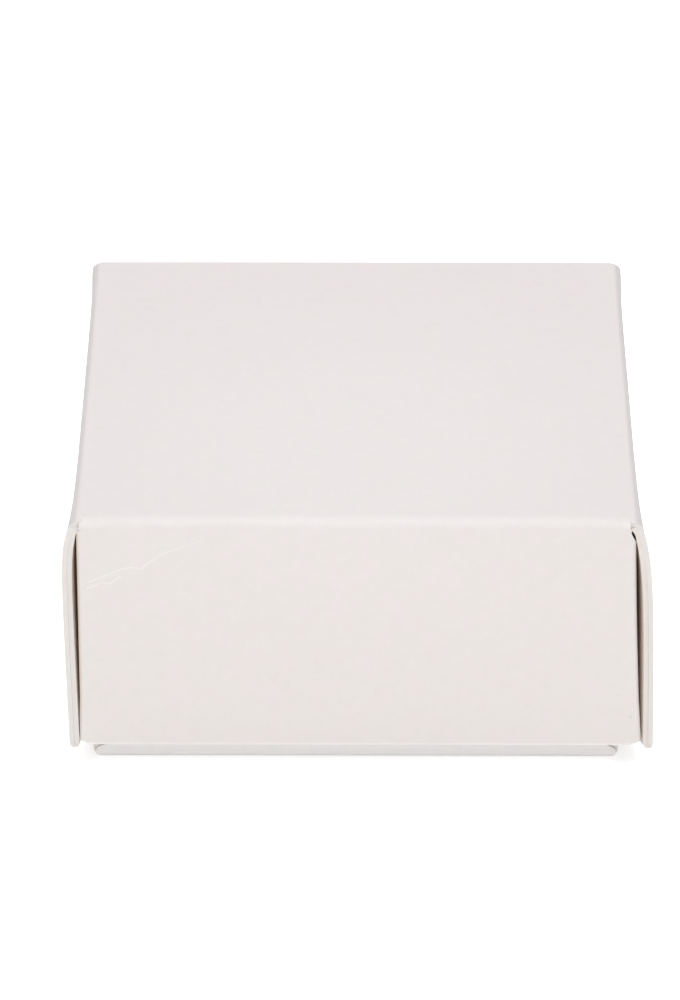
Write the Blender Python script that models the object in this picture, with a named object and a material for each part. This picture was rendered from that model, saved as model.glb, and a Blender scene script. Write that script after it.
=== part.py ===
# Gift box with a lift-off lid, made of two sheets of white board, each cut, creased and folded into a tray.
# The lid is an upside-down tray over the base. Each tray has one flat panel and four walls. A wall turns
# back on itself at its rim, so that a lining lies against its inner face. The front and rear walls carry an
# ear at each end, which turns the corner and lies inside the side wall. The side walls are held only at
# their crease, so they spring outwards, most of all at their front ends.
# Each panel between two creases is an object of its own. Neighbours of one sheet meet face to face.
import math
from types import SimpleNamespace

import bmesh
import bpy

MM = 0.001

# Board and folds
BOARD = 0.46 * MM
HEM_GAP = 0.05 * MM
EAR_RADIUS = 0.55 * MM
MIDDLE_SHARE = 0.08
END_POWER = 5

# Lid
LID_WIDTH = 55.0 * MM
LID_HEIGHT = 25.9 * MM
LID_SIDE_EXTRA = 0.30 * MM
LID_CREASE_RADIUS = 1.00 * MM
LID_CREASE_END = 1.00 * MM
LID_CREASE_BEAD = 0.90
LID_NOTCH_START = 0.90
LID_SIDE_SETBACK = 0.25 * MM
LID_EAR_FIT = 2.90 * MM
LID_EAR_LENGTH = 12.0 * MM
LID_LINING_DROP = 0.08 * MM
LID_LINING_CURL = 0.25 * MM
LID_FRONT_FLARE = 0.57 * MM
LID_FRONT_LEAN = 0.49 * MM
LEAN_START = 3.0 * MM
LEAN_POWER = 1.25

# The lid's corners, where the side walls have sprung out by different amounts
LID_LEFT_SPRING = 1.32 * MM
LID_LEFT_REACH = 2.3 * MM
LID_LEFT_LEAN = 0.46 * MM
LID_LEFT_EAR_SLOT = 0.26 * MM
LID_LEFT_EAR_DROP = 0.12 * MM
LID_LEFT_EAR_RELIEF = 0.72 * MM
LID_RIGHT_SPRING = 1.66 * MM
LID_RIGHT_REACH = 4.1 * MM
LID_RIGHT_LEAN = 0.36 * MM
LID_RIGHT_EAR_SLOT = 0.13 * MM
LID_RIGHT_EAR_DROP = 0.30 * MM
LID_RIGHT_EAR_RELIEF = 1.25 * MM
LID_REAR_SPRING = 0.45 * MM
LID_REAR_REACH = 1.2 * MM
LID_REAR_EAR_SLOT = 0.08 * MM
LID_REAR_EAR_DROP = 0.20 * MM
LID_REAR_EAR_RELIEF = 1.70 * MM

# Base
BASE_CREASE_RADIUS = 1.00 * MM
BASE_CREASE_END = 0.43 * MM
BASE_CREASE_BEAD = 0.0
BASE_NOTCH_START = 1.00
BASE_FRONT_SPRING = 0.40 * MM
BASE_REAR_SPRING = 0.15 * MM
BASE_REACH = 3.5 * MM
BASE_SIDE_SETBACK = 0.25 * MM
BASE_EAR_SLOT = 0.06 * MM
BASE_EAR_FIT = 1.90 * MM
BASE_EAR_LENGTH = 12.0 * MM
BASE_EAR_DROP = 0.40 * MM
BASE_EAR_RELIEF = 0.50 * MM
BASE_LINING_DROP = 0.30 * MM
BASE_LINING_CURL = 0.0

# Fits
LID_CLEARANCE = 0.60 * MM
LID_OVER_BASE = 0.10 * MM
RIM_REVEAL = 2.45 * MM
EAR_FREE_SLOT = 0.06 * MM
EAR_FOOT = 0.25 * MM
EAR_FOOT_RELIEF = 0.35 * MM
EAR_TAPER = 2.5 * MM
HEM_RELIEF = 0.45 * MM
LINING_SIDE_GAP = 0.60 * MM
LINING_CURL_REACH = 0.80 * MM
CORNER_GAP = 0.05 * MM
BEAD_FULLNESS = 1.7

# Facets
CREASE_STEPS = 5
HEM_STEPS = 6
BEND_STEPS = 4
EAR_STEPS = 5
MARK_STEPS = 2
WALL_STEPS = 8
SIDE_STEPS = 7
ACROSS_STEPS = 4
TOWARDS_CUT = 1.8
TOWARDS_END = 1.5

BOARD_COLOUR = (0.84, 0.81, 0.79)
LINING_COLOUR = (0.80, 0.77, 0.74)
BOARD_ROUGHNESS = 0.62
SMOOTH_ANGLE = math.radians(40)
SLOPE_SPAN = 0.05 * MM

# Outer radius of the turned rim, and how far in from the wall's outer face the lining's inner face lies
HEM_RADIUS = BOARD + HEM_GAP / 2
DOUBLE_WALL = 2 * BOARD + HEM_GAP
BASE_WIDTH = LID_WIDTH - 2 * (DOUBLE_WALL + LID_CLEARANCE)
TOP = RIM_REVEAL + LID_HEIGHT


def material(name, colour):
    mat = bpy.data.materials.new(name)
    mat.use_nodes = True
    shader = mat.node_tree.nodes["Principled BSDF"]
    shader.inputs["Base Color"].default_value = (*colour, 1.0)
    shader.inputs["Roughness"].default_value = BOARD_ROUGHNESS
    shader.inputs["Metallic"].default_value = 0.0
    return mat


def spread(count, start, end, power=1.0):
    # Values from start to end, closer together near start when the power is over 1
    return [start + (end - start) * (i / count) ** power for i in range(count + 1)]


def clamp(value):
    return min(max(value, 0.0), 1.0)


def end_share(tray, along):
    # 0 at the middle of a side wall and 1 at its ends
    return min(abs(along) / tray.half, 1.0) ** END_POWER


def nearer_end(along):
    return 1 if along > 0 else -1


def fold_travel(tray, out, depth):
    # How far down the sheet a point lies, equal on both faces of the crease
    if depth >= tray.crease_radius:
        return depth
    angle = math.atan2(out - tray.crease_out, tray.crease_radius - depth)
    return tray.crease_radius * max(angle, 0.0) / (math.pi / 2)


def sprung(corner, travel):
    return corner.spring * (1 - math.exp(-travel / corner.reach))


def spring_out(tray, side, travel, along):
    middle = MIDDLE_SHARE * sprung(tray.corners[side, -1], travel)
    return middle + (sprung(tray.corners[side, nearer_end(along)], travel) - middle) * end_share(tray, along)


def settle(tray, depth):
    # 0 near the flat panel and 1 at the rim
    return clamp((depth - LEAN_START) / (tray.height - LEAN_START)) ** LEAN_POWER


def lining_face(tray, side, depth, along):
    # Where the inner face of a side wall's lining lies
    return tray.half - DOUBLE_WALL + spring_out(tray, side, depth, along)


def crease_fill(tray, angle):
    # How much of the space inside a crease its bead fills: none at the flat panel, most of it over the arc,
    # and what is left of the bead where the wall begins
    bead = tray.crease_bead * min(BEAD_FULLNESS * math.sin(2 * angle), 1.0)
    below = tray.lining_curl / (tray.crease_radius - BOARD) if angle > math.pi / 4 else 0.0
    return max(bead, below)


def curled_in(tray, depth):
    # The bead inside a crease thickens the wall just below it and pushes the lining's cut edge inwards
    near = clamp(1 - (depth - tray.lining_cut) / LINING_CURL_REACH)
    return tray.lining_curl * near ** 2


def mitre(tray, travel):
    # Half the length that a wall may have there without meeting its neighbour round the corner. Where the
    # end walls' creases stop short of the corner, the side walls fill it.
    if tray.shoulder <= tray.crease_out:
        return tray.half
    angle = math.pi / 2 * clamp(travel / tray.crease_radius)
    opened = max(travel - tray.crease_radius, 0.0)
    return tray.crease_out - CORNER_GAP + (tray.crease_radius - BOARD) * math.sin(angle) + opened


def side_wall_half(tray, side):
    def half_length(travel, depth, towards):
        return min(tray.side_half, mitre(tray, travel))

    return half_length


def end_wall_half(tray, side):
    # A front or rear wall: the corner notch runs from the crease to the ear, and the rim's ends are drawn in
    start = tray.notch_start * tray.crease_radius

    def half_length(travel, depth, towards):
        corner = tray.corners[towards, side]
        notch = clamp((travel - start) / (corner.ear_cut - start))
        half = tray.shoulder + (corner.ear_start - tray.shoulder) * notch
        drawn_in = clamp((depth - tray.ear_foot) / (tray.height - tray.ear_foot))
        return min(half, mitre(tray, travel)) - HEM_RELIEF * drawn_in

    return half_length


def end_lining_half(tray, side):
    def half_length(travel, depth, towards):
        return tray.corners[towards, side].ear_start - LINING_SIDE_GAP

    return half_length


def side_place(tray, side):
    def place(out, along, depth):
        x = side * (out + spring_out(tray, side, fold_travel(tray, out, depth), along))
        lean = tray.corners[side, nearer_end(along)].lean * settle(tray, depth) * end_share(tray, along)
        return x + lean, along, tray.sense * depth

    return place


def end_place(tray, side):
    def place(out, along, depth):
        share = settle(tray, depth) * end_share(tray, out)
        x = along + share * (tray.lean[side] + tray.flare[side] * along / tray.half)
        return x, side * out, tray.sense * depth

    return place


def wall_outline(tray, rows):
    # The section of a wall's outer layer: the crease, the flat and the turned rim, in (out, depth)
    outer, inner = [], []
    for i in range(CREASE_STEPS + 1):
        angle = math.pi / 2 * i / CREASE_STEPS
        inside = (tray.crease_radius - BOARD) * (1 - crease_fill(tray, angle))
        for line, radius in ((outer, tray.crease_radius), (inner, inside)):
            line.append((
                tray.crease_out + radius * math.sin(angle),
                tray.crease_radius - radius * math.cos(angle),
            ))
    for depth in rows[:-1]:
        outer.append((tray.half, depth))
        inner.append((tray.half - BOARD - curled_in(tray, depth), depth))
    for i in range(HEM_STEPS + 1):
        angle = math.pi * i / HEM_STEPS
        for line, radius in ((outer, HEM_RADIUS), (inner, HEM_GAP / 2)):
            line.append((
                tray.half - HEM_RADIUS + radius * math.cos(angle),
                rows[-1] + radius * math.sin(angle),
            ))
    return outer, inner


def lining_outline(tray, rows):
    inner = [(tray.half - DOUBLE_WALL - curled_in(tray, depth), depth) for depth in rows]
    return [(out + BOARD, depth) for out, depth in inner], inner


def swept(tray, name, faces, stations, place, colour):
    # Carries a strip, drawn between the board's two faces, along the stations. Place gives each point's
    # settled position.
    bm = bmesh.new()
    index = bm.verts.layers.int.new("index")
    points = [point for pair in zip(*faces) for point in pair]
    verts = [bm.verts.new((i * MM, 0, 0)) for i in range(len(points))]
    for i, vert in enumerate(verts):
        vert[index] = i
    corners = [(i, i + 1, i + 3, i + 2) for i in range(0, len(verts) - 2, 2)]
    strip = [bm.faces.new([verts[i] for i in corner]) for corner in corners]
    for count, station in enumerate(stations):
        if count:
            made = bmesh.ops.extrude_face_region(bm, geom=strip)["geom"]
            if count > 1:
                bmesh.ops.delete(bm, geom=strip, context="FACES")
            strip = [item for item in made if isinstance(item, bmesh.types.BMFace)]
        for vert in {vert for face in strip for vert in face.verts}:
            vert.co = place(points[vert[index]], station)
    bmesh.ops.recalc_face_normals(bm, faces=bm.faces)
    mesh = bpy.data.meshes.new(name)
    bm.to_mesh(mesh)
    bm.free()
    mesh.materials.append(material(name, colour))
    mesh.shade_smooth()
    mesh.set_sharp_from_angle(angle=SMOOTH_ANGLE)
    obj = bpy.data.objects.new(name, mesh)
    bpy.context.collection.objects.link(obj)
    obj.parent = tray.carrier


def sweep_wall(tray, name, faces, stations, place, half_length, colour):
    # Stations are shares of the wall's half length, which changes with the depth
    def wall_place(point, share):
        out, depth = point
        half = half_length(fold_travel(tray, out, depth), depth, 1 if share > 0 else -1)
        return place(out, share * half, depth)

    swept(tray, name, faces, stations, wall_place, colour)


def flat_panel(tray, name):
    # The square between the four creases
    edge = tray.crease_out

    def place(point, depth):
        return *point, tray.sense * depth

    faces = [(-edge, -edge), (edge, -edge)], [(-edge, edge), (edge, edge)]
    swept(tray, name, faces, [0.0, BOARD], place, BOARD_COLOUR)


def ear_outline(tray, side, end):
    # An ear in plan: from the end of its wall round the corner, then back towards the side wall's lining,
    # which its free end all but touches. Each point has its along and out, how far round the corner it is
    # and how far along the ear.
    sizes = tray.corners[side, end]
    bend_out = tray.half - EAR_RADIUS

    def face(out):
        return lining_face(tray, side, tray.ear_fit, end * out)

    outer, inner = [], []
    for i in range(BEND_STEPS + 1):
        angle = math.pi / 2 * i / BEND_STEPS
        for line, radius in ((outer, EAR_RADIUS), (inner, EAR_RADIUS - BOARD)):
            along = sizes.ear_start + radius * math.sin(angle)
            line.append((along, bend_out + radius * math.cos(angle), math.sin(angle), 0.0))
    for i in range(1, EAR_STEPS + 1):
        run = i / EAR_STEPS
        out = bend_out - run * tray.ear_length
        along = sizes.ear_half + face(out) - face(bend_out) + run * (sizes.ear_slot - EAR_FREE_SLOT)
        slope = (face(out + SLOPE_SPAN) - face(out - SLOPE_SPAN)) / (2 * SLOPE_SPAN)
        through = BOARD / math.hypot(1.0, slope)
        outer.append((along, out, 1.0, run))
        inner.append((along - through, out + through * slope, 1.0, run))
    return outer, inner


def ear(tray, name, side, end):
    # Its edges are cut away round the corner, then run together towards the free end
    wall_place = end_place(tray, end)
    sizes = tray.corners[side, end]

    def place(point, depth):
        along, out, turned, run = point
        top = sizes.ear_cut + sizes.ear_relief * turned + EAR_TAPER * run
        foot = tray.ear_foot - EAR_FOOT_RELIEF * turned - EAR_TAPER * run
        share = (depth - sizes.ear_cut) / (tray.ear_foot - sizes.ear_cut)
        return wall_place(out, side * along, top + (foot - top) * share)

    rows = [depth for depth in tray.wall_rows if depth >= sizes.ear_cut]
    swept(tray, name, ear_outline(tray, side, end), rows, place, BOARD_COLOUR)


def build_tray(tray):
    flat_panel(tray, f"{tray.name}_{tray.panel_name}")
    near_end = [-share for share in spread(SIDE_STEPS, 1, 0, TOWARDS_END)]
    side_stations = near_end + [-share for share in reversed(near_end[:-1])]
    end_stations = spread(ACROSS_STEPS, -1, 1)
    walls = (
        ("left", -1, side_place, side_stations, tray.side_rows, side_wall_half, side_wall_half),
        ("right", 1, side_place, side_stations, tray.side_rows, side_wall_half, side_wall_half),
        ("front", -1, end_place, end_stations, tray.end_rows, end_wall_half, end_lining_half),
        ("rear", 1, end_place, end_stations, tray.end_rows, end_wall_half, end_lining_half),
    )
    for label, side, placing, stations, rows, wall_half, lining_half in walls:
        name = f"{tray.name}_{label}"
        place = placing(tray, side)
        outline = wall_outline(tray, rows)
        half_length = wall_half(tray, side)
        sweep_wall(tray, f"{name}_wall", outline, stations, place, half_length, BOARD_COLOUR)
        outline = lining_outline(tray, rows)
        half_length = lining_half(tray, side)
        sweep_wall(tray, f"{name}_lining", outline, stations, place, half_length, LINING_COLOUR)
    for end_label, end in (("front", -1), ("rear", 1)):
        for side_label, side in (("left", -1), ("right", 1)):
            ear(tray, f"{tray.name}_{end_label}_{side_label}_ear", side, end)


def finish_tray(tray):
    # What follows from a tray's own sizes. Rows run from the lining's cut edge to the turned rim's middle.
    tray.half = tray.width / 2
    tray.crease_out = tray.half - tray.crease_radius
    tray.shoulder = tray.half - tray.crease_end
    tray.side_half = tray.half - tray.side_setback
    tray.lining_cut = tray.crease_radius + tray.lining_drop
    hem_centre = tray.height - HEM_RADIUS
    tray.ear_foot = hem_centre - EAR_FOOT
    for (side, end), corner in tray.corners.items():
        corner.ear_cut = tray.crease_radius + corner.ear_drop
        corner.ear_half = lining_face(tray, side, tray.ear_fit, end * tray.side_half) - corner.ear_slot
        corner.ear_start = corner.ear_half - EAR_RADIUS
    ear_cuts = sorted({corner.ear_cut for corner in tray.corners.values()})
    tray.wall_rows = ear_cuts[:-1] + spread(WALL_STEPS, ear_cuts[-1], tray.ear_foot, TOWARDS_CUT)
    above = spread(MARK_STEPS, tray.lining_cut, ear_cuts[0])[:-1] + tray.wall_rows
    tray.end_rows = above + [hem_centre]
    tray.side_rows = above + [hem_centre + tray.side_extra]
    tray.carrier = bpy.data.objects.new(f"{tray.name}_carrier", None)
    tray.carrier.location.z = tray.rest_level
    bpy.context.collection.objects.link(tray.carrier)
    return tray


def corner_of(spring, reach, lean, ear_slot, ear_drop, ear_relief):
    return SimpleNamespace(
        spring=spring, reach=reach, lean=lean, ear_slot=ear_slot, ear_drop=ear_drop, ear_relief=ear_relief,
    )


for old in list(bpy.data.objects):
    bpy.data.objects.remove(old)

# The lid's carrier stands on the line that the lid lifts along. Depth runs from a tray's flat panel to its
# rim: down in the lid and up in the base.
lid = finish_tray(SimpleNamespace(
    name="lid",
    panel_name="top_panel",
    rest_level=TOP,
    sense=-1,
    width=LID_WIDTH,
    height=LID_HEIGHT,
    side_extra=LID_SIDE_EXTRA,
    crease_radius=LID_CREASE_RADIUS,
    crease_end=LID_CREASE_END,
    crease_bead=LID_CREASE_BEAD,
    notch_start=LID_NOTCH_START,
    side_setback=LID_SIDE_SETBACK,
    ear_fit=LID_EAR_FIT,
    ear_length=LID_EAR_LENGTH,
    lining_drop=LID_LINING_DROP,
    lining_curl=LID_LINING_CURL,
    lean={-1: LID_FRONT_LEAN, 1: 0.0},
    flare={-1: LID_FRONT_FLARE, 1: 0.0},
    corners={
        (-1, -1): corner_of(
            LID_LEFT_SPRING, LID_LEFT_REACH, LID_LEFT_LEAN,
            LID_LEFT_EAR_SLOT, LID_LEFT_EAR_DROP, LID_LEFT_EAR_RELIEF,
        ),
        (1, -1): corner_of(
            LID_RIGHT_SPRING, LID_RIGHT_REACH, LID_RIGHT_LEAN,
            LID_RIGHT_EAR_SLOT, LID_RIGHT_EAR_DROP, LID_RIGHT_EAR_RELIEF,
        ),
        (-1, 1): corner_of(
            LID_REAR_SPRING, LID_REAR_REACH, 0.0,
            LID_REAR_EAR_SLOT, LID_REAR_EAR_DROP, LID_REAR_EAR_RELIEF,
        ),
        (1, 1): corner_of(
            LID_REAR_SPRING, LID_REAR_REACH, 0.0,
            LID_REAR_EAR_SLOT, LID_REAR_EAR_DROP, LID_REAR_EAR_RELIEF,
        ),
    },
))
base = finish_tray(SimpleNamespace(
    name="base",
    panel_name="floor_panel",
    rest_level=0.0,
    sense=1,
    width=BASE_WIDTH,
    height=TOP - BOARD - LID_OVER_BASE,
    side_extra=0.0,
    crease_radius=BASE_CREASE_RADIUS,
    crease_end=BASE_CREASE_END,
    crease_bead=BASE_CREASE_BEAD,
    notch_start=BASE_NOTCH_START,
    side_setback=BASE_SIDE_SETBACK,
    ear_fit=BASE_EAR_FIT,
    ear_length=BASE_EAR_LENGTH,
    lining_drop=BASE_LINING_DROP,
    lining_curl=BASE_LINING_CURL,
    lean={-1: 0.0, 1: 0.0},
    flare={-1: 0.0, 1: 0.0},
    corners={
        (side, end): corner_of(spring, BASE_REACH, 0.0, BASE_EAR_SLOT, BASE_EAR_DROP, BASE_EAR_RELIEF)
        for end, spring in ((-1, BASE_FRONT_SPRING), (1, BASE_REAR_SPRING))
        for side in (-1, 1)
    },
))
build_tray(lid)
build_tray(base)
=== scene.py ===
import math

import bmesh
import bpy
from mathutils import Matrix, Vector


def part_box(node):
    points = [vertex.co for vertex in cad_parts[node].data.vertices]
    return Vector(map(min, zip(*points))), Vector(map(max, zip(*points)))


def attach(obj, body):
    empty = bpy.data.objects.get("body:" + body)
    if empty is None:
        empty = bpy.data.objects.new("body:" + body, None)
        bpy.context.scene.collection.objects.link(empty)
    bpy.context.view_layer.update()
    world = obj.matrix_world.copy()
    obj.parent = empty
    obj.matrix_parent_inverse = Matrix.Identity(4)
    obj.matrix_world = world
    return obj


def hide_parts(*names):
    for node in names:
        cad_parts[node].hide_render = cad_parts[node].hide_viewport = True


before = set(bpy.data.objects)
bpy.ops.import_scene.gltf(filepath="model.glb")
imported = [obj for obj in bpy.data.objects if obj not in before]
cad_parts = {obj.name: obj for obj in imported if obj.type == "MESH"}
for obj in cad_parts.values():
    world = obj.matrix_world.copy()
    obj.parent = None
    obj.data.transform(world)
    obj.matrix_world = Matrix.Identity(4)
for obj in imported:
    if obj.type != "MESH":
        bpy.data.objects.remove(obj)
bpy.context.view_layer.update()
mm = 0.001
up = Vector((0, 0, 1))
quarterTurn = math.pi / 2

# The box is two folded sheets of board, so it is dressed with two pieces, each one an unbroken sheet.
board = {
    "thickness": 0.4825 * mm,
    "hemGap": 0.005 * mm,        # between the two layers of a turned rim
    "earRadius": 0.55 * mm,
    "edgeRounding": 0.015 * mm,
    "middleShare": 0.08,         # of the front spring that is left halfway along a side wall
    "endPower": 5,               # how close to its ends a side wall springs out
    "leanStart": 3.0 * mm,       # the depth from which walls lean and flare
    "leanPower": 1.25,
    "earFootRelief": 0.10 * mm,
    "earFootAboveRim": 0.52 * mm,
    "earTaper": 2.5 * mm,
    "earFreeSlot": 0.06 * mm,    # between an ear's free end and the side wall's lining
    "liningSideGap": 0.60 * mm,
    "curlReach": 0.80 * mm,
    "beadFullness": 1.7,
    "cornerGap": 0.05 * mm,
    "slotMouth": 0.35 * mm,      # how far light reaches into a slot
    "slotFade": 1.9 * mm,
    "closingReach": 4.5 * mm,    # up from the rim, where an ear's foot may come to rest on the lining
    "closingShare": 0.8,         # of that reach, after which the ear rests fully
    "notchPower": 6,             # how suddenly a crease's tab ends in its notch
    "sag": 0.22 * mm,            # of the panel's corners
    "sagStart": 18 * mm,
    "sagPower": 1.5,
}
board["hemRadius"] = board["thickness"] + board["hemGap"] / 2
board["doubleWall"] = 2 * board["thickness"] + board["hemGap"]
rows = {
    "panel": 36,
    "towardsEdge": 1.5,          # rows stand closer together near the corners
    "crease": 10,
    "creaseStart": 0.01,         # share of the crease at which it has its full length
    "cut": 2,
    "wall": 26,
    "hem": 14,
    "lining": 16,
    "curl": 6,
    "earBend": 8,
    "ear": 14,
    "towardsCut": 1.3,           # wall rows stand closer together near the corner notch
}
wearAndHighlightShape = {
    "latePower": 1.25,           # how far towards the wall a crease is worn and painted with highlight
    "narrowPower": 1.5,
    "rimFullness": 1.6,
}
slotShade = {
    "litLining": 0.6,            # share of the shade that goes where the slot is closed
    "litEar": 0.85,
    "bend": 0.5,                 # shade at the end of an ear's bend
}
sideNames = {-1: "left", 1: "right"}
endNames = {-1: "front", 1: "rear"}


def clamp(value):
    return min(max(value, 0.0), 1.0)


def arch(share):
    # 0 at both ends of a fold and 1 over most of its middle
    return math.sqrt(math.sin(math.pi * share))


def lateArch(share):
    # The same for wear and painted highlight that lie more towards the wall
    return math.sin(math.pi * share ** wearAndHighlightShape["latePower"]) ** wearAndHighlightShape["narrowPower"]


def planTray(tray):
    # A tray's main sizes come from the frame. Depth runs from its flat panel to its rim.
    low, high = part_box(tray["panel"])
    tray["level"] = high.z if tray["sense"] < 0 else low.z

    def depths(part):
        ends = [tray["sense"] * (corner.z - tray["level"]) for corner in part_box(tray["name"] + part)]
        return min(ends), max(ends)

    tray["half"] = -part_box(tray["name"] + "_front_wall")[0].y
    tray["creaseOut"] = high.x
    tray["creaseRadius"] = tray["half"] - high.x
    tray["height"] = depths("_front_wall")[1]
    tray["sideExtra"] = depths("_left_wall")[1] - tray["height"]
    tray["sideHalf"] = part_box(tray["name"] + "_left_wall")[1].y
    tray["liningCut"] = depths("_left_lining")[0]
    tray["shoulder"] = tray["half"] - tray["creaseEnd"]
    tray["earFoot"] = tray["height"] - board["earFootAboveRim"]
    for (side, end), corner in tray["corners"].items():
        earCut = depths(f"_{endNames[end]}_{sideNames[side]}_ear")[0]
        corner["earCut"] = round(earCut - tray["earRise"], 7)
        corner["earHalf"] = liningFace(tray, side, tray["earFit"], end * tray["sideHalf"]) - corner["earSlot"]
        corner["earStart"] = corner["earHalf"] - board["earRadius"]


def endShare(tray, along):
    # 0 at the middle of a side wall and 1 at its ends
    return min(abs(along) / tray["half"], 1.0) ** board["endPower"]


def nearerEnd(along):
    return 1 if along > 0 else -1


def sprung(corner, travel):
    return corner["spring"] * (1 - math.exp(-travel / corner["reach"]))


def springOut(tray, side, travel, along):
    middle = board["middleShare"] * sprung(tray["corners"][side, -1], travel)
    there = sprung(tray["corners"][side, nearerEnd(along)], travel)
    return middle + (there - middle) * endShare(tray, along)


def settled(tray, depth):
    start = board["leanStart"]
    return clamp((depth - start) / (tray["height"] - start)) ** board["leanPower"]


def liningFace(tray, side, depth, along):
    return tray["half"] - board["doubleWall"] + springOut(tray, side, depth, along)


def beadDepth(tray, angle):
    # How much the bead inside a crease adds to the board's thickness
    space = tray["creaseRadius"] - board["thickness"]
    bead = space * tray["creaseBead"] * min(board["beadFullness"] * math.sin(2 * angle), 1.0)
    return max(bead, tray["liningCurl"] if angle > quarterTurn / 2 else 0.0)


def curledIn(tray, depth):
    # What is left of the bead thickens the wall below it and pushes the lining's cut edge inwards
    return tray["liningCurl"] * clamp(1 - (depth - tray["liningCut"]) / board["curlReach"]) ** 2


def sidesFillCorners(tray):
    # Where the end walls' creases stop short of the corner
    return tray["shoulder"] < tray["creaseOut"] + board["cornerGap"]


def cornerDroop(tray, depth, along):
    # How far a side wall's crease sinks at its ends, which rounds the corner both ways
    radius = tray["creaseRadius"]
    beyond = min(abs(along) - tray["creaseOut"], radius)
    if beyond < 0 or depth > radius or not sidesFillCorners(tray):
        return 0.0
    drop = radius - math.sqrt(radius ** 2 - beyond ** 2)
    return tray["droop"][nearerEnd(along)] * drop * (1 - depth / radius)


def cornerSag(tray, vert):
    # The panel is a little lower at its corners
    start = board["sagStart"]
    shares = [clamp((abs(place) - start) / (tray["half"] - start)) for place in vert.co.xy]
    upper = clamp(1 + vert.co.z / (tray["height"] - tray["earFoot"] + board["closingReach"]))
    sag = tray["sags"][nearerEnd(vert.co.y)] * board["sag"]
    return sag * (shares[0] * shares[1]) ** board["sagPower"] * upper


def closed(tray, side, end, depth):
    # 1 where the foot of an ear rests on the lining and closes its slot
    top = tray["earFoot"] - board["closingReach"]
    share = (depth - top) / (board["closingShare"] * board["closingReach"])
    return tray["corners"][side, end]["closing"] * clamp(share)


def mitre(tray, travel):
    # Half the length that a wall may have there without meeting its neighbour round the corner
    if sidesFillCorners(tray):
        return tray["half"]
    angle = quarterTurn * clamp(travel / tray["creaseRadius"])
    opened = max(travel - tray["creaseRadius"], 0.0)
    inner = tray["creaseRadius"] - board["thickness"]
    return tray["creaseOut"] - board["cornerGap"] + inner * math.sin(angle) + opened


def sideWallHalf(tray, end, towards, travel):
    return min(tray["sideHalf"], mitre(tray, travel)) - tray["sideInset"]


def endWallHalf(tray, end, towards, travel):
    corner = tray["corners"][towards, end]
    start = tray["notchStart"] * tray["creaseRadius"]
    notch = clamp((travel - start) / (corner["earCut"] - start))
    tab = corner["tab"] * math.sin(quarterTurn * clamp(travel / tray["creaseRadius"]))
    tab *= 1 - notch ** board["notchPower"]
    half = tray["shoulder"] + (corner["earStart"] - tray["shoulder"]) * notch + tab
    drawnIn = clamp((travel - tray["earFoot"]) / (tray["height"] - tray["earFoot"]))
    return min(half, mitre(tray, travel)) - corner["hemRelief"] * drawnIn


def endLiningHalf(tray, end, towards, travel):
    return tray["corners"][towards, end]["earStart"] - board["liningSideGap"]


def aboutPoint(centre, angle, axis):
    return Matrix.Translation(centre) @ Matrix.Rotation(angle, 4, axis) @ Matrix.Translation(-centre)


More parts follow.
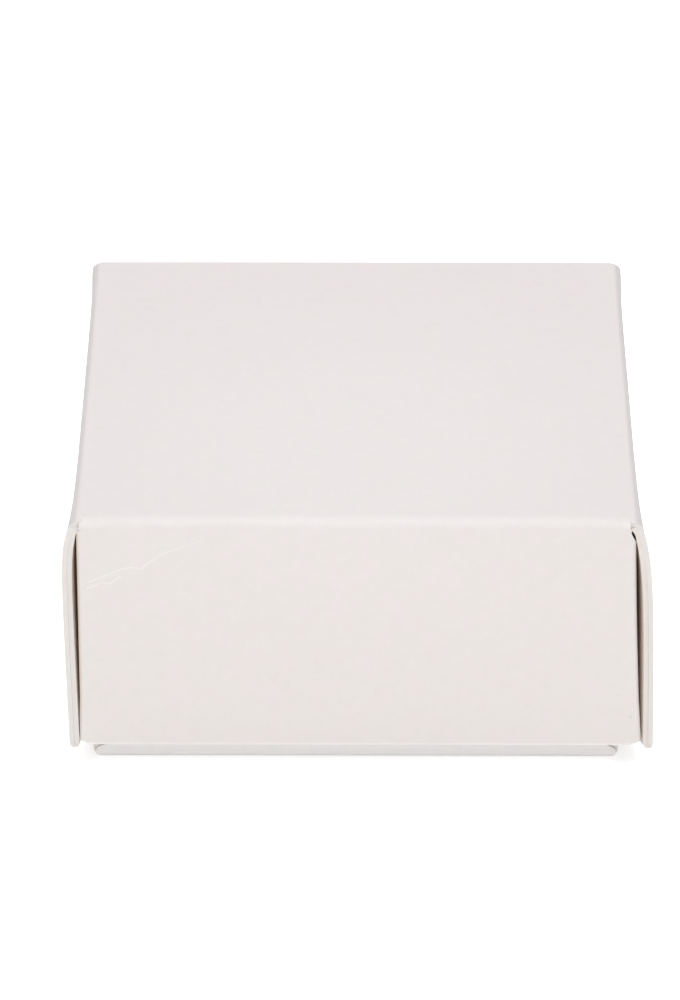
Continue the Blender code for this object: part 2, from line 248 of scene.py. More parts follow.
class Sheet:
    # One sheet of board. Its outer face is drawn out from the flat panel row by row, face up, and the
    # board's thickness is added at the end.
    def __init__(self, tray):
        self.tray = tray
        self.bm = bmesh.new()
        layers = self.bm.verts.layers
        self.kind = layers.int.new("kind")
        self.travel = layers.float.new("travel")
        self.share = layers.float.new("share")
        self.thick = layers.float.new("thick")
        self.fold = layers.float.new("fold")
        self.tuckedShade = layers.float.new("tuckedShade")
        self.flat = layers.float_vector.new("flat")
        self.kinds = {"panel": 0, "side": 1, "end": 2}
        steps = rows["panel"]
        bmesh.ops.create_grid(self.bm, x_segments=steps, y_segments=steps, size=tray["creaseOut"])
        for vert in self.bm.verts:
            for axis in (0, 1):
                share = min(abs(vert.co[axis]) / tray["creaseOut"], 1.0)
                nearEdge = tray["creaseOut"] * (1 - (1 - share) ** rows["towardsEdge"])
                vert.co[axis] = math.copysign(nearEdge, vert.co[axis])
            vert[self.flat] = vert.co
            vert[self.thick] = board["thickness"]

    def drawOut(self, row, move):
        # Extrudes a row of edges and returns the new row's edges and vertices
        made = bmesh.ops.extrude_edge_only(self.bm, edges=row)["geom"]
        verts = [item for item in made if isinstance(item, bmesh.types.BMVert)]
        fresh = set(verts)
        bmesh.ops.transform(self.bm, matrix=move, verts=verts)
        return [e for e in made if isinstance(e, bmesh.types.BMEdge) and fresh.issuperset(e.verts)], verts

    def wall(self, out, kind, wallHalf, liningHalf, creaseWearAndHighlight, rimWearAndHighlight):
        # The crease, the outer layer, the turned rim and the lining of one wall
        tray = self.tray
        along = up.cross(out)
        stretchWay = Vector(map(abs, along))
        end = nearerEnd(out.y)
        start = tray["creaseOut"]
        nearly = start - 1e-4 * mm
        onEdge = {v for v in self.bm.verts if v.co.dot(out) > nearly and v.co.z == 0}
        state = {
            "row": [e for e in self.bm.edges if onEdge.issuperset(e.verts)],
            "half": {-1: start, 1: start},
            "walked": start,
        }

        def step(move, walk, travel, halfLength, fold=0.0, bead=0.0):
            state["row"], verts = self.drawOut(state["row"], move)
            for towards, before in state["half"].items():
                half = halfLength(tray, end, towards, travel)
                size = Vector((1, 1, 1)) + stretchWay * (half / before - 1)
                part = [v for v in verts if v.co.dot(stretchWay) * towards > 0]
                bmesh.ops.scale(self.bm, vec=size, verts=part)
                state["half"][towards] = half
            state["walked"] += walk
            for vert in verts:
                vert[self.kind] = self.kinds[kind]
                vert[self.travel] = travel
                vert[self.fold] = fold
                vert[self.thick] = board["thickness"] + bead
                vert[self.flat] = stretchWay * vert.co.dot(stretchWay) + out * state["walked"]
            return verts

        radius = tray["creaseRadius"]
        centre = out * start - up * radius
        turned = 0.0
        for share in [rows["creaseStart"]] + [i / rows["crease"] for i in range(1, rows["crease"] + 1)]:
            angle = quarterTurn * share
            move = aboutPoint(centre, angle - turned, along)
            walk = radius * (angle - turned)
            wornAndLit = creaseWearAndHighlight * lateArch(share)
            step(move, walk, radius * share, wallHalf, wornAndLit, beadDepth(tray, angle))
            turned = angle

        hemCentre = tray["height"] - board["hemRadius"]
        rim = hemCentre + (tray["sideExtra"] if kind == "side" else 0.0)
        earRows = {}
        depth = radius
        for mark in self.wallMarks() + [rim]:
            move = Matrix.Translation(up * (depth - mark))
            earRows[mark] = step(move, mark - depth, mark, wallHalf, 0.0, curledIn(tray, mark))
            depth = mark
        del earRows[rim]

        radius = board["hemRadius"]
        angle = math.pi / rows["hem"]
        move = aboutPoint(out * (tray["half"] - radius) - up * rim, angle, along)
        for i in range(1, rows["hem"] + 1):
            share = i / rows["hem"]
            depth = rim + radius * math.sin(math.pi * share)
            wornAndLit = rimWearAndHighlight * min(wearAndHighlightShape["rimFullness"] * arch(share), 1.0)
            step(move, radius * angle, depth, wallHalf, wornAndLit)

        depth = rim
        for mark in self.liningMarks(rim):
            inwards = curledIn(tray, mark) - curledIn(tray, depth)
            move = Matrix.Translation(up * (depth - mark) - out * inwards)
            for vert in step(move, depth - mark, mark, liningHalf):
                vert[self.tuckedShade] = self.slotShadeAt(vert.co, mark) if kind == "side" else 0.0
            depth = mark
        return earRows

    def slotShadeAt(self, place, depth):
        # Painted shade: 1 where an ear covers a side wall's lining, and less where the slot lets light in
        tray = self.tray
        fromEnd = tray["sideHalf"] - abs(place.y)
        covered = clamp((tray["earLength"] - fromEnd) / board["slotFade"])
        lit = slotShade["litLining"] * closed(tray, nearerEnd(place.x), nearerEnd(place.y), depth)
        return min(clamp((fromEnd - board["slotMouth"]) / board["slotFade"]), covered) * (1 - lit)

    def wallMarks(self):
        # Depths of the rows between the crease and the turned rim
        tray = self.tray
        cuts = sorted({corner["earCut"] for corner in tray["corners"].values()})
        drop = cuts[0] - tray["creaseRadius"]
        first = [tray["creaseRadius"] + drop * i / rows["cut"] for i in range(1, rows["cut"])]
        reach = tray["earFoot"] - cuts[-1]
        shares = [(i / rows["wall"]) ** rows["towardsCut"] for i in range(1, rows["wall"] + 1)]
        return first + cuts + [cuts[-1] + reach * share for share in shares]

    def liningMarks(self, rim):
        # Depths of the lining's rows, from the rim up to its cut edge
        curlEnd = self.tray["liningCut"] + board["curlReach"]
        first = [rim + (curlEnd - rim) * i / rows["lining"] for i in range(1, rows["lining"] + 1)]
        return first + [curlEnd - board["curlReach"] * i / rows["curl"] for i in range(1, rows["curl"] + 1)]

    def ear(self, earRows, end, side, wear):
        # Turns the corner from the end of a front or rear wall, then runs back beside the side wall's lining
        tray = self.tray
        corner = tray["corners"][side, end]
        column = set()
        for mark, verts in earRows.items():
            if mark >= corner["earCut"]:
                last = max(verts, key=lambda v: side * v.co.x)
                last[self.share] = (mark - corner["earCut"]) / (tray["earFoot"] - corner["earCut"])
                column.add(last)
        row = [e for e in self.bm.edges if e.is_boundary and column.issuperset(e.verts)]
        bendOut = tray["half"] - board["earRadius"]
        centre = Vector((side * corner["earStart"], end * bendOut, 0))
        walked = corner["earStart"]

        def step(row, move, turned, run, fold, tuckedShade):
            row, verts = self.drawOut(row, move)
            top = corner["earCut"] + corner["earRelief"] * turned + board["earTaper"] * run
            foot = tray["earFoot"] - board["earFootRelief"] * turned - board["earTaper"] * run
            for vert in verts:
                depth = top + (foot - top) * vert[self.share]
                vert.co.z = -depth
                vert[self.kind] = self.kinds["end"]
                vert[self.fold] = fold
                # Painted shade on the ear, lifted where its foot closes the slot
                vert[self.tuckedShade] = tuckedShade * (1 - slotShade["litEar"] * closed(tray, side, end, depth))
                vert[self.thick] = board["thickness"]
                out = tray["creaseOut"] + (quarterTurn - 1) * tray["creaseRadius"] + depth
                vert[self.flat] = Vector((side * walked, end * out, 0))
            return row

        angle = quarterTurn / rows["earBend"]
        move = aboutPoint(centre, -angle * side * end, up)
        for i in range(1, rows["earBend"] + 1):
            walked += board["earRadius"] * angle
            share = i / rows["earBend"]
            shaded = slotShade["bend"] * share ** corner["shade"]
            row = step(row, move, math.sin(angle * i), 0.0, wear * arch(share), shaded)

        def place(run):
            out = bendOut - run * tray["earLength"]
            faceThere = liningFace(tray, side, tray["earFit"], end * out)
            faceHere = liningFace(tray, side, tray["earFit"], end * bendOut)
            outwards = run * (corner["earSlot"] - board["earFreeSlot"])
            return Vector((side * (corner["earHalf"] + faceThere - faceHere + outwards), end * out, 0))

        for i in range(1, rows["ear"] + 1):
            shift = place(i / rows["ear"]) - place((i - 1) / rows["ear"])
            walked += shift.length
            row = step(row, Matrix.Translation(shift), 1.0, i / rows["ear"], 0.0, 1.0)

    def settle(self):
        # The side walls spring out, and the front of the rim flares and leans a little to one side
        tray = self.tray
        for vert in self.bm.verts:
            x, y, z = vert.co
            end = nearerEnd(y)
            share = settled(tray, -z) * endShare(tray, y)
            if vert[self.kind] == self.kinds["side"]:
                side = 1 if x > 0 else -1
                lean = tray["corners"][side, end]["lean"] * share
                vert.co.x += side * springOut(tray, side, vert[self.travel], y) + lean
                vert.co.z -= cornerDroop(tray, -z, y)
            elif vert[self.kind] == self.kinds["end"]:
                vert.co.x += share * (tray["lean"][end] + tray["flare"][end] * x / tray["half"])
                if vert[self.tuckedShade] > 0:
                    side = nearerEnd(x)
                    face = side * liningFace(tray, side, -z, y) + tray["corners"][side, end]["lean"] * share
                    rest = closed(tray, side, end, -z) * clamp((tray["half"] - abs(y)) / board["earRadius"])
                    vert.co.x += rest * (face - side * board["earFreeSlot"] / 2 - vert.co.x)
            vert.co.z -= cornerSag(tray, vert)

    def finish(self):
        tray = self.tray
        wear = tray["wear"]
        for side in (-1, 1):
            self.wall(Vector((side, 0, 0)), "side", sideWallHalf, sideWallHalf, wear["fold"], wear["fold"])
        for end in (-1, 1):
            wornAndLit = (wear["frontCrease"], wear["frontRim"]) if end < 0 else (wear["fold"], wear["fold"])
            earRows = self.wall(Vector((0, end, 0)), "end", endWallHalf, endLiningHalf, *wornAndLit)
            for side in (-1, 1):
                self.ear(earRows, end, side, wear["fold"])
        self.settle()
        bmesh.ops.scale(self.bm, vec=(1, 1, -tray["sense"]), verts=self.bm.verts)
        bmesh.ops.recalc_face_normals(self.bm, faces=self.bm.faces)
        middle = min(self.bm.faces, key=lambda f: f.calc_center_median().length)
        if middle.normal.z * tray["sense"] > 0:
            bmesh.ops.reverse_faces(self.bm, faces=self.bm.faces)
        bmesh.ops.translate(self.bm, vec=up * tray["level"], verts=self.bm.verts)
        thickest = max(vert[self.thick] for vert in self.bm.verts)
        weights = self.bm.verts.layers.deform.verify()
        for vert in self.bm.verts:
            vert[weights][0] = vert[self.thick] / thickest
        mesh = bpy.data.meshes.new(tray["name"] + "_sheet")
        self.bm.to_mesh(mesh)
        self.bm.free()
        mesh.shade_smooth()
        piece = bpy.data.objects.new(mesh.name, mesh)
        bpy.context.scene.collection.objects.link(piece)
        piece.vertex_groups.new(name="thickness")
        thick = piece.modifiers.new("boardThickness", "SOLIDIFY")
        thick.vertex_group = "thickness"
        thick.thickness_vertex_group = 0
        thick.thickness = thickest
        thick.offset = -1
        thick.use_even_offset = True
        thick.material_offset = 1
        thick.material_offset_rim = 2
        soften = piece.modifiers.new("edgeRounding", "BEVEL")
        soften.width = board["edgeRounding"]
        soften.segments = 2
        soften.limit_method = "ANGLE"
        soften.angle_limit = math.radians(60)
        soften.harden_normals = True
        return piece


class Signal:
    # A shader socket that takes part in sums
    def __init__(self, recipe, socket):
        self.recipe = recipe
        self.socket = socket

    def __add__(self, other):
        return self.recipe.maths("ADD", self, other)

    def __radd__(self, other):
        return self.recipe.maths("ADD", other, self)

    def __sub__(self, other):
        return self.recipe.maths("SUBTRACT", self, other)

    def __rsub__(self, other):
        return self.recipe.maths("SUBTRACT", other, self)

    def __mul__(self, other):
        return self.recipe.maths("MULTIPLY", self, other)

    def __rmul__(self, other):
        return self.recipe.maths("MULTIPLY", other, self)


class Recipe:
    # A node tree that is written as expressions
    def __init__(self, tree):
        self.tree = tree
        tree.nodes.clear()

    def feed(self, socket, value):
        if isinstance(value, Signal):
            self.tree.links.new(value.socket, socket)
        else:
            socket.default_value = value

    def node(self, kind, settings=None, sockets=None, output=0):
        made = self.tree.nodes.new("ShaderNode" + kind)
        for name, value in (settings or {}).items():
            setattr(made, name, value)
        for name, value in (sockets or {}).items():
            self.feed(made.inputs[name], value)
        return Signal(self, made.outputs[output]) if len(made.outputs) else None

    def maths(self, operation, *values):
        return self.node("Math", {"operation": operation}, dict(enumerate(values)))

    def vectors(self, operation, *values, output=0):
        return self.node("VectorMath", {"operation": operation}, dict(enumerate(values)), output)

    def axis(self, vector, index):
        return self.node("SeparateXYZ", None, {"Vector": vector}, index)

    def stored(self, name, output=2):
        # A layer of the sheet, as a number or with output 1 as a vector
        return self.node("Attribute", {"attribute_name": name}, None, output)

    def scaled(self, vector, factor):
        return self.node("VectorMath", {"operation": "SCALE"}, {0: vector, "Scale": factor})

    def clamped(self, value):
        return self.node("Clamp", None, {"Value": value})

    def between(self, value, low, high):
        # 0 at low and 1 at high, with a soft start and end
        sockets = {"Value": value, "From Min": low, "From Max": high}
        return self.node("MapRange", {"interpolation_type": "SMOOTHSTEP"}, sockets)

    def blend(self, factor, first, second):
        settings = {"data_type": "RGBA", "blend_type": "MIX"}
        return self.node("Mix", settings, {0: factor, 6: first, 7: second}, 2)

    def noise(self, place, size, detail=2.0, roughness=0.5, output=0):
        sockets = {"Vector": place, "Scale": 1 / size, "Detail": detail, "Roughness": roughness}
        return self.node("TexNoise", {"noise_dimensions": "3D"}, sockets, output)

    def lineGap(self, place, start, end):
        # How far a place is from the straight line between two points
        run = end - start
        offset = self.vectors("SUBTRACT", place, start)
        share = self.clamped(self.vectors("DOT_PRODUCT", offset, run / run.length_squared, output=1))
        return self.vectors("DISTANCE", offset, self.scaled(run, share), output=1)


def newRecipe(name):
    material = bpy.data.materials.new(name)
    material.use_nodes = True
    return material, Recipe(material.node_tree)


paper = {"ior": 1.47, "specular": 0.30}


def finishSurface(recipe, colour, roughness, normal):
    shader = recipe.node("BsdfPrincipled", None, {
        "Base Color": colour,
        "Roughness": roughness,
        "IOR": paper["ior"],
        "Specular IOR Level": paper["specular"],
        "Normal": normal,
    })
    recipe.node("OutputMaterial", None, {"Surface": shader})


coating = {
    # Painted light: the coating is lighter near the front crease and darker further from it
    "litCentre": Vector((0, -14 * mm, 0)),
    "litReach": 8 * mm,
    "litEnd": 42 * mm,
    "warmTint": (1.000, 1.007, 0.990),
    "pinkTint": (1.004, 0.990, 1.004),
    # Paler folds: worn coating, and painted highlight on the lid's front rim and crease ends and on the
    # base's front crease
    "fold": (0.985, 0.965, 0.955, 1),
    # Painted shade in the slots: warm where light bounces in at the mouth, dark deeper in
    "slotMouth": (0.840, 0.690, 0.570, 1),
    "slotDeep": (0.400, 0.300, 0.240, 1),
    "cloudSize": 11 * mm,
    "patchSize": 3.2 * mm,
    "mottleSize": 1.1 * mm,
    "fibreSize": 0.35 * mm,
    "grainSize": 0.09 * mm,
    "wallRange": (25 * mm, 30 * mm),       # from the middle of the flat sheet, where the wall tone comes in
    "endRange": (25.4 * mm, 26.4 * mm),    # and where a crease gets a painted highlight, near its ends
    "level": 0.939,
    "mottleTone": 0.052,
    "fibreTone": 0.052,
    "patchTone": 0.018,
    "foldLeast": 0.45,
    "foldPatches": 0.7,
    "endHighlight": 0.9,
    "bumpStrength": 0.35,
    "bumpDepth": 0.012 * mm,
}
# Painted shade along the side creases
creaseShade = {
    "colour": (0.835, 0.830, 0.845, 1),
    "start": 26.80 * mm,         # from the middle of the flat sheet, across the side creases
    "full": 27.30 * mm,
    "fade": 28.0 * mm,
    "end": 29.2 * mm,
}


def shadeCreases(recipe, across, colour):
    # Painted shade: the side creases are darker
    start, full = creaseShade["start"], creaseShade["full"]
    amount = recipe.between(across, start, full) * (1 - recipe.between(across, creaseShade["fade"], creaseShade["end"]))
    return recipe.vectors("MULTIPLY", colour, recipe.blend(amount, (1, 1, 1, 1), creaseShade["colour"]))


# In each pair the first tone is the lighter one near the front crease, painted light
lidTones = {
    "panel": [(0.850, 0.809, 0.806, 1), (0.822, 0.773, 0.776, 1)],
    "walls": [(0.852, 0.812, 0.795, 1), (0.838, 0.799, 0.776, 1)],
}
# The base's walls are paler than its panel: painted light on the strip in the lid's shade
baseTones = {
    "panel": [(0.880, 0.860, 0.850, 1), (0.870, 0.840, 0.830, 1)],
    "walls": [(0.975, 0.965, 0.960, 1), (0.965, 0.950, 0.940, 1)],
}
marks = {
    "crease": 27.07 * mm,        # from the middle of the flat sheet to depth 0 of the front wall
    "scratches": [
        [(-25.9, 6.99), (-23.27, 5.75), (-21.97, 5.32), (-21.0, 5.51), (-18.71, 3.77), (-14.84, 2.27)],
        [(-26.24, 7.73), (-24.76, 7.13), (-23.96, 7.21), (-22.97, 6.41)],
    ],
    "speck": (26.27, 22.39),
    "colour": (0.960, 0.945, 0.935, 1),
    "speckColour": (0.660, 0.620, 0.600, 1),
    "thin": 0.02 * mm,
    "wide": 0.13 * mm,
    "straySize": 0.5 * mm,
    "stray": 0.25 * mm,
    "breakSize": 0.8 * mm,
    "breakRange": (0.20, 0.55),
    "fadeRange": (-21 * mm, -14 * mm),
    "fade": 0.6,
    "strength": 0.55,
    "depth": 1.5,
    "speckRange": (0.09 * mm, 0.22 * mm),
    "speckStrength": 0.45,
}


def frontPlace(point):
    # Where a mark on the lid's front wall lies on the flat sheet, from its place along and down the wall
    along, depth = point
    return Vector((along * mm, -marks["crease"] - depth * mm, 0))


def markLines(recipe, flat):
    # The two scratches, broken up and a little crooked
    noise = recipe.noise(flat, marks["straySize"], 2.0, 0.5, 1)
    strayed = recipe.vectors("SUBTRACT", noise, Vector((0.5, 0.5, 0.5)))
    place = recipe.vectors("ADD", flat, recipe.scaled(strayed, marks["stray"]))
    gaps = []
    for scratch in marks["scratches"]:
        points = [frontPlace(point) for point in scratch]
        gaps += [recipe.lineGap(place, start, end) for start, end in zip(points, points[1:])]
    nearest = gaps[0]
    for gap in gaps[1:]:
        nearest = recipe.maths("MINIMUM", nearest, gap)
    drawn = 1 - recipe.between(nearest, marks["thin"], marks["wide"])
    return drawn * recipe.between(recipe.noise(flat, marks["breakSize"], 2.0), *marks["breakRange"])


def coatedBoard(name, tones, marked):
    # The white face: pinker on the flat panel and warmer on the walls, lighter near the front crease as
    # painted light, with faint clouds, mottling and fibres. The coating is paler where it is bent, worn and
    # with painted highlight, and painted darker deep in the slots as shade.
    material, recipe = newRecipe(name)
    flat = recipe.stored("flat", 1)
    fold = recipe.stored("fold")
    tuckedShade = recipe.stored("tuckedShade")
    across = recipe.maths("ABSOLUTE", recipe.axis(flat, 0))
    back = recipe.maths("ABSOLUTE", recipe.axis(flat, 1))
    onWall = recipe.between(recipe.maths("MAXIMUM", across, back), *coating["wallRange"])
    cloud = recipe.noise(flat, coating["cloudSize"], 2.0)
    patch = recipe.noise(flat, coating["patchSize"], 2.0)
    mottle = recipe.noise(flat, coating["mottleSize"], 3.0, 0.6)
    stretched = recipe.node("Mapping", {"vector_type": "POINT"}, {"Vector": flat, "Scale": (1, 2.2, 1)})
    fibre = recipe.noise(stretched, coating["fibreSize"], 3.0, 0.6)
    grain = recipe.noise(flat, coating["grainSize"], 2.0)
    away = recipe.vectors("DISTANCE", flat, coating["litCentre"], output=1)
    lessLit = recipe.between(away, coating["litReach"], coating["litEnd"])
    outer = recipe.clamped(lessLit + cloud * 0.5 - 0.25)
    tone = recipe.blend(onWall, recipe.blend(outer, *tones["panel"]), recipe.blend(outer, *tones["walls"]))
    hue = recipe.noise(flat, coating["patchSize"], 3.0, 0.65)
    tint = recipe.blend(recipe.between(hue, 0.35, 0.65), (*coating["warmTint"], 1), (*coating["pinkTint"], 1))
    shade = coating["level"] + mottle * coating["mottleTone"]
    shade = shade + fibre * coating["fibreTone"] + patch * coating["patchTone"]
    colour = recipe.scaled(recipe.vectors("MULTIPLY", tone, tint), shade)
    # Painted shade along the side creases of the lid
    if marked:
        colour = shadeCreases(recipe, across, colour)
    # Painted highlight near the ends of a crease
    ends = recipe.between(across, *coating["endRange"])
    patches = recipe.noise(flat, 5 * mm, 2.0) * coating["foldPatches"]
    wornAndLitFold = recipe.clamped(fold * (coating["foldLeast"] + patches + ends * coating["endHighlight"]))
    colour = recipe.blend(wornAndLitFold, colour, coating["fold"])
    height = fibre * 0.6 + mottle * 0.4 + grain * 0.5
    if marked:
        faded = recipe.between(recipe.axis(flat, 0), *marks["fadeRange"]) * marks["fade"]
        lines = markLines(recipe, flat) * (1 - faded)
        colour = recipe.blend(lines * marks["strength"], colour, marks["colour"])
        speckGap = recipe.vectors("DISTANCE", flat, frontPlace(marks["speck"]), output=1)
        speck = 1 - recipe.between(speckGap, *marks["speckRange"])
        colour = recipe.blend(speck * marks["speckStrength"], colour, marks["speckColour"])
        height = height - lines * marks["depth"]
    # Painted shade deep in the slots, warm at their mouths
    colour = recipe.blend(recipe.between(tuckedShade, 0.0, 0.4), colour, coating["slotMouth"])
    colour = recipe.blend(recipe.between(tuckedShade, 0.3, 1.0), colour, coating["slotDeep"])
    bump = {"Strength": coating["bumpStrength"], "Distance": coating["bumpDepth"], "Height": height}
    normal = recipe.node("Bump", None, bump)
    finishSurface(recipe, colour, 0.60 + mottle * 0.08 - fold * 0.06, normal)
    return material


lining = {
    "dark": (0.800, 0.765, 0.725, 1),
    "light": (0.850, 0.820, 0.785, 1),
    "mottleSize": 0.8 * mm,
    "fibreSize": 0.30 * mm,
    "bumpDepth": 0.02 * mm,
}


def uncoatedBoard(name):
    # The face inside the folds: rougher and a little yellower
    material, recipe = newRecipe(name)
    flat = recipe.stored("flat", 1)
    mottle = recipe.noise(flat, lining["mottleSize"], 3.0, 0.6)
    stretched = recipe.node("Mapping", {"vector_type": "POINT"}, {"Vector": flat, "Scale": (1, 4.0, 1)})
    fibre = recipe.noise(stretched, lining["fibreSize"], 4.0, 0.65)
    colour = recipe.blend(mottle * 0.6 + fibre * 0.4, lining["dark"], lining["light"])
    normal = recipe.node("Bump", None, {"Strength": 0.5, "Distance": lining["bumpDepth"], "Height": fibre})
    finishSurface(recipe, colour, 0.72 + mottle * 0.1, normal)
    return material


edge = {
    "dark": (0.795, 0.755, 0.725, 1),
    "light": (0.865, 0.835, 0.815, 1),
    # Painted warm light on the right wall's lining edge
    "inner": (1.030, 1.005, 0.975, 1),
    "warmLightRange": (53 * mm, 54 * mm),      # from the middle of the flat sheet, past the right rim
    "pulpSize": 0.12 * mm,
    "cloudSize": 1.5 * mm,
    "bumpDepth": 0.03 * mm,
}


def cutEdge(name):
    # The board's core where the die cut it, with its layers of pulp. The right wall's lining edge is painted
    # warmer and lighter, as light bounced into the slot beside it.
    material, recipe = newRecipe(name)
    along = recipe.axis(recipe.stored("flat", 1), 0)
    place = recipe.node("TexCoord", None, None, 3)
    pulp = recipe.noise(place, edge["pulpSize"], 4.0, 0.65)
    cloud = recipe.noise(place, edge["cloudSize"], 2.0)
    colour = recipe.blend(pulp * 0.5 + cloud * 0.5, edge["dark"], edge["light"])
    warmLitLining = recipe.between(along, *edge["warmLightRange"])
    colour = recipe.vectors("MULTIPLY", colour, recipe.blend(warmLitLining, (1, 1, 1, 1), edge["inner"]))
    normal = recipe.node("Bump", None, {"Strength": 0.6, "Distance": edge["bumpDepth"], "Height": pulp})
    finishSurface(recipe, colour, 0.80, normal)
    return material


def cornerOf(closing=0.0, shade=3.0, **sizes):
    # Spring is how far the side wall stands out there and reach the depth over which it does. The lean and
    # the slot beside the ear follow, then what is cut from the ear's top and the rim, and the crease's tab.
    return {name: size * mm for name, size in sizes.items()} | {"closing": closing, "shade": shade}


lid = {
    "name": "lid",
    "panel": "lid_top_panel",
    "sense": -1,
    "creaseEnd": 1.00 * mm,
    "creaseBead": 0.90,          # share of the space inside the crease that is filled
    "notchStart": 0.90,          # share of the crease radius
    "earRise": 0.0,
    "sideInset": 0.0,
    "earFit": 2.90 * mm,
    "earLength": 12.0 * mm,
    "liningCurl": 0.25 * mm,
    "lean": {-1: 0.49 * mm, 1: 0.0},
    "flare": {-1: 0.57 * mm, 1: 0.0},
    "droop": {-1: 0.45, 1: 1.0},
    "sags": {-1: 1.0, 1: 0.15},
    "corners": {
        (-1, -1): cornerOf(
            closing=1.0, shade=1.5, spring=1.32, reach=2.3, lean=0.46,
            earSlot=0.26, earRelief=0.15, hemRelief=0.25, tab=0.40,
        ),
        (1, -1): cornerOf(
            closing=0.4, shade=4.0, spring=1.66, reach=4.1, lean=0.36,
            earSlot=0.13, earRelief=1.25, hemRelief=0.95, tab=0.12,
        ),
        (-1, 1): cornerOf(
            spring=0.45, reach=1.2, lean=0.0,
            earSlot=0.08, earRelief=1.70, hemRelief=0.45, tab=0.0,
        ),
        (1, 1): cornerOf(
            spring=0.45, reach=1.2, lean=0.0,
            earSlot=0.08, earRelief=1.70, hemRelief=0.45, tab=0.0,
        ),
    },
    # The lid's front rim is painted paler as highlight, beside its wear
    "wear": {"frontCrease": 0.13, "frontRim": 1.0, "fold": 0.05},
}
base = {
    "name": "base",
    "panel": "base_floor_panel",
    "sense": 1,
    "creaseEnd": 1.00 * mm,
    "creaseBead": 0.90,
    "notchStart": 0.95,
    "earRise": -0.40 * mm,       # the ears' cut ends stand this much closer to the crease than the solids'
    "sideInset": 0.06 * mm,      # of the side walls' ends behind the end walls' faces
    "earFit": 1.90 * mm,
    "earLength": 12.0 * mm,
    "liningCurl": 0.0,
    "lean": {-1: 0.0, 1: 0.0},
    "flare": {-1: 0.0, 1: 0.0},
    "droop": {-1: 0.8, 1: 1.0},
    "sags": {-1: 0.0, 1: 0.0},
    "corners": {
        (side, end): cornerOf(
            spring={-1: 0.40, 1: 0.15}[end], reach=3.5, lean=0.0,
            earSlot=0.06, earRelief=0.10, hemRelief=0.45, tab=0.92,
        )
        for side in sideNames for end in endNames
    },
    # The base's front crease is painted paler, as light on the strip below the lid's rim
    "wear": {"frontCrease": 0.90, "frontRim": 0.15, "fold": 0.05},
}
lid["coat"] = coatedBoard("lidCoating", lidTones, True)
base["coat"] = coatedBoard("baseCoating", baseTones, False)
inside = uncoatedBoard("uncoatedBoard")
core = cutEdge("cutEdge")
for tray in (lid, base):
    planTray(tray)
    piece = Sheet(tray).finish()
    for surface in (tray["coat"], inside, core):
        piece.data.materials.append(surface)
    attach(piece, tray["name"])
    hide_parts(*sorted(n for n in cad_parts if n.startswith(tray["name"] + "_")))
    tray["name"] + "_board"
    print(tray["name"], "sheet folded:", len(piece.data.polygons), "faces before its thickness")

studio = {
    "floorSize": 3.0,
    "floorDrop": 0.02 * mm,
    "floorColour": (0.94, 0.935, 0.93, 1),
    "floorGlow": 0.48,
    "skyLevel": 0.776,
    "sideDim": 0.40,             # how much darker the studio is on both sides
    "sideRange": (0.45, 0.95),   # of a direction's sideways share
    "overhead": 1.10,            # extra light from above
    "overheadRange": (0.80, 0.95),
    "lowFront": 2.00,            # and from low in front
    "lowRange": (0.08, 0.18),
    "frontRange": (-0.90, -0.65),
    "keyPlace": Vector((0.05, -0.34, 0.115)),
    "keySize": 0.12,
    "keyWatts": 0.02,
}


def seenDirectly(recipe):
    # 1 for rays from the camera and for reflected and transmitted ones, so that they see the white backdrop
    rays = [recipe.node("LightPath", None, None, output) for output in (0, 3, 6)]
    return recipe.clamped(rays[0] + rays[1] + rays[2])


def buildFloor():
    bm = bmesh.new()
    bmesh.ops.create_grid(bm, x_segments=1, y_segments=1, size=studio["floorSize"] / 2)
    bmesh.ops.translate(bm, vec=(0, 0, -studio["floorDrop"]), verts=bm.verts)
    mesh = bpy.data.meshes.new("floor")
    bm.to_mesh(mesh)
    bm.free()
    floor = bpy.data.objects.new("floor", mesh)
    bpy.context.scene.collection.objects.link(floor)
    material, recipe = newRecipe("paleFloor")
    diffuse = recipe.node("BsdfDiffuse", None, {"Color": studio["floorColour"]})
    strength = seenDirectly(recipe) * studio["floorGlow"]
    glow = recipe.node("Emission", None, {"Color": (1, 1, 1, 1), "Strength": strength})
    both = recipe.node("AddShader", None, {0: diffuse, 1: glow})
    recipe.node("OutputMaterial", None, {"Surface": both})
    mesh.materials.append(material)


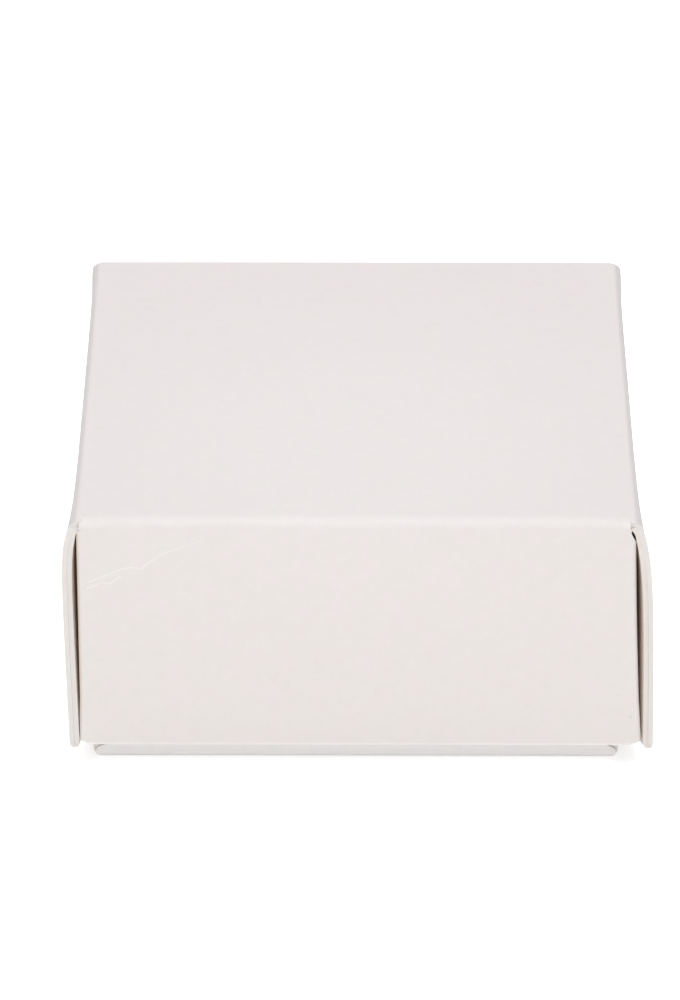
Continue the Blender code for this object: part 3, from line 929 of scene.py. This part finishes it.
def buildSky():
    world = bpy.data.worlds.new("studio")
    bpy.context.scene.world = world
    world.use_nodes = True
    recipe = Recipe(world.node_tree)
    direction = recipe.node("TexCoord", None, None, 0)
    sideways = recipe.maths("ABSOLUTE", recipe.axis(direction, 0))
    backwards = recipe.axis(direction, 1)
    upwards = recipe.axis(direction, 2)
    level = studio["skyLevel"] * (1 - recipe.between(sideways, *studio["sideRange"]) * studio["sideDim"])
    low = 1 - recipe.between(upwards, *studio["lowRange"])
    lowFront = low * (1 - recipe.between(backwards, *studio["frontRange"]))
    level = level + recipe.between(upwards, *studio["overheadRange"]) * studio["overhead"]
    level = level + lowFront * studio["lowFront"]
    seen = seenDirectly(recipe)
    strength = level * (1 - seen) + seen
    sky = recipe.node("Background", None, {"Color": (1, 1, 1, 1), "Strength": strength})
    recipe.node("OutputWorld", None, {"Surface": sky})


def addLamp():
    lamp = bpy.data.lights.new("key", "AREA")
    lamp.shape = "DISK"
    lamp.size = studio["keySize"]
    lamp.energy = studio["keyWatts"]
    holder = bpy.data.objects.new("key", lamp)
    holder.location = studio["keyPlace"]
    holder.rotation_mode = "QUATERNION"
    holder.rotation_quaternion = (-studio["keyPlace"]).to_track_quat("-Z", "Y")
    holder.visible_camera = False
    bpy.context.scene.collection.objects.link(holder)


def addCamera():
    # Found by fitting the box's corners and creases in the photograph
    view = {"pitch": 29.74, "yaw": -0.19, "distance": 577 * mm, "focalPixels": 5649, "tallPixels": 1000}
    aim = Vector((-1.65 * mm, 0, 14.86 * mm))
    pitch = math.radians(view["pitch"])
    yaw = math.radians(view["yaw"])
    forward = Vector((math.sin(yaw) * math.cos(pitch), math.cos(yaw) * math.cos(pitch), -math.sin(pitch)))
    lens = bpy.data.cameras.new("camera")
    lens.sensor_width = 36
    lens.lens = view["focalPixels"] / view["tallPixels"] * lens.sensor_width
    lens.clip_start = 0.01
    lens.clip_end = 10
    camera = bpy.data.objects.new("camera", lens)
    camera.rotation_mode = "QUATERNION"
    camera.location = aim - forward * view["distance"]
    camera.rotation_quaternion = forward.to_track_quat("-Z", "Y")
    bpy.context.scene.collection.objects.link(camera)
    bpy.context.scene.camera = camera


buildFloor()
buildSky()
addLamp()
addCamera()
bpy.context.scene.view_settings.view_transform = "Standard"
print("studio ready")
